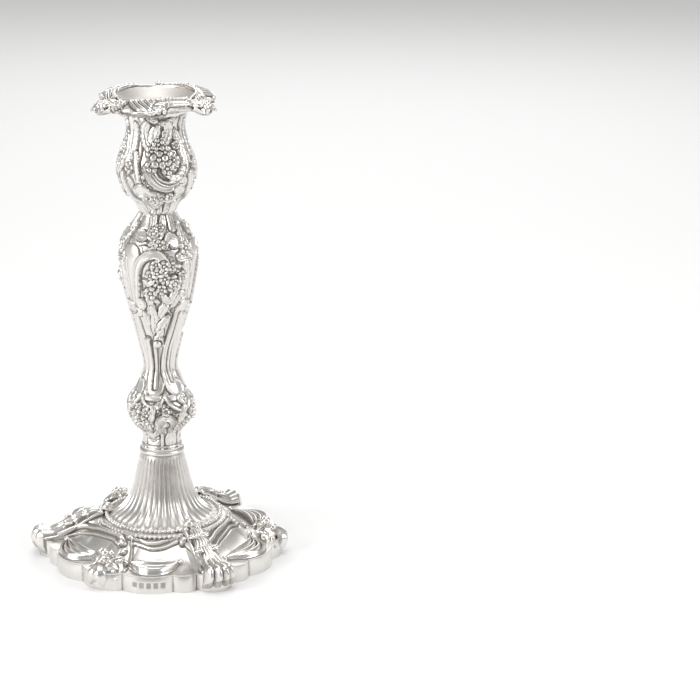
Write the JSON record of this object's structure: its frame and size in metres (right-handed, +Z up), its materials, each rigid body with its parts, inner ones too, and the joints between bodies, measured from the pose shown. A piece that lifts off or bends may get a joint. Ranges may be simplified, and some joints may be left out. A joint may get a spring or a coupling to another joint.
{
  "type": "table candlestick",
  "caption": "Silver table candlestick with a chased baluster stem, fluted column, shaped three-cornered base and a lift-out candle nozzle with a cast border.",
  "frame": {"origin": "centre of the base on the surface that it stands on, on the stick's axis", "axes": "+Z up along the stick; +X from the axis through one cast flower of the base; the opposite corner of the base points along -X"},
  "size_m": [0.1346, 0.129, 0.2544],
  "materials": {
    "polished_silver": "hand-polished plain silver, fine scratches",
    "chased_silver": "struck and chased silver, dark oxide in the recesses",
    "cast_silver": "cast and chased silver, dark oxide in the recesses",
    "socket_silver": "unpolished silver inside the sockets, browned by use",
    "iron": "black bar",
    "pitch": "brown-black pitch",
    "board": "plain softwood board",
    "baize": "green baize"
  },
  "bodies": {
    "candlestick": {"baize_pad": "baize", "base_board": "board", "base_skirt": "polished_silver", "base_plate": "polished_silver", "foot_bead_ring": "chased_silver", "fluted_column": "chased_silver", "collar_ring": "polished_silver", "spool_neck": "chased_silver", "socket_liner": "socket_silver", "socket_floor": "socket_silver", "core_rod": "iron", "pitch_filling": "pitch", "corner_mount_1": "cast_silver", "corner_mount_2": "cast_silver", "corner_mount_3": "cast_silver", "flower_mount_1": "cast_silver", "flower_mount_2": "cast_silver", "flower_mount_3": "cast_silver", "knop_shell_1": "chased_silver", "knop_shell_2": "chased_silver", "knop_shell_3": "chased_silver", "stem_shell_1": "chased_silver", "stem_shell_2": "chased_silver", "stem_shell_3": "chased_silver", "cup_shell_1": "chased_silver", "cup_shell_2": "chased_silver", "cup_shell_3": "chased_silver", "crescent_moulding_1": "chased_silver", "crescent_moulding_2": "chased_silver", "crescent_moulding_3": "chased_silver", "crescent_moulding_4": "chased_silver", "crescent_moulding_5": "chased_silver", "crescent_moulding_6": "chased_silver"},
    "nozzle": {"nozzle_sleeve": "socket_silver", "nozzle_floor": "socket_silver", "nozzle_pan": "polished_silver", "border_segment_1": "cast_silver", "border_segment_2": "cast_silver", "border_segment_3": "cast_silver", "nozzle_flower_1": "cast_silver", "nozzle_flower_2": "cast_silver", "nozzle_flower_3": "cast_silver"}
  },
  "joints": [
    {"name": "nozzle_lift", "type": "slide", "parent": "candlestick", "child": "nozzle", "axis": [0, 0, 1], "range_m": [0, 0.04]}
  ]
}
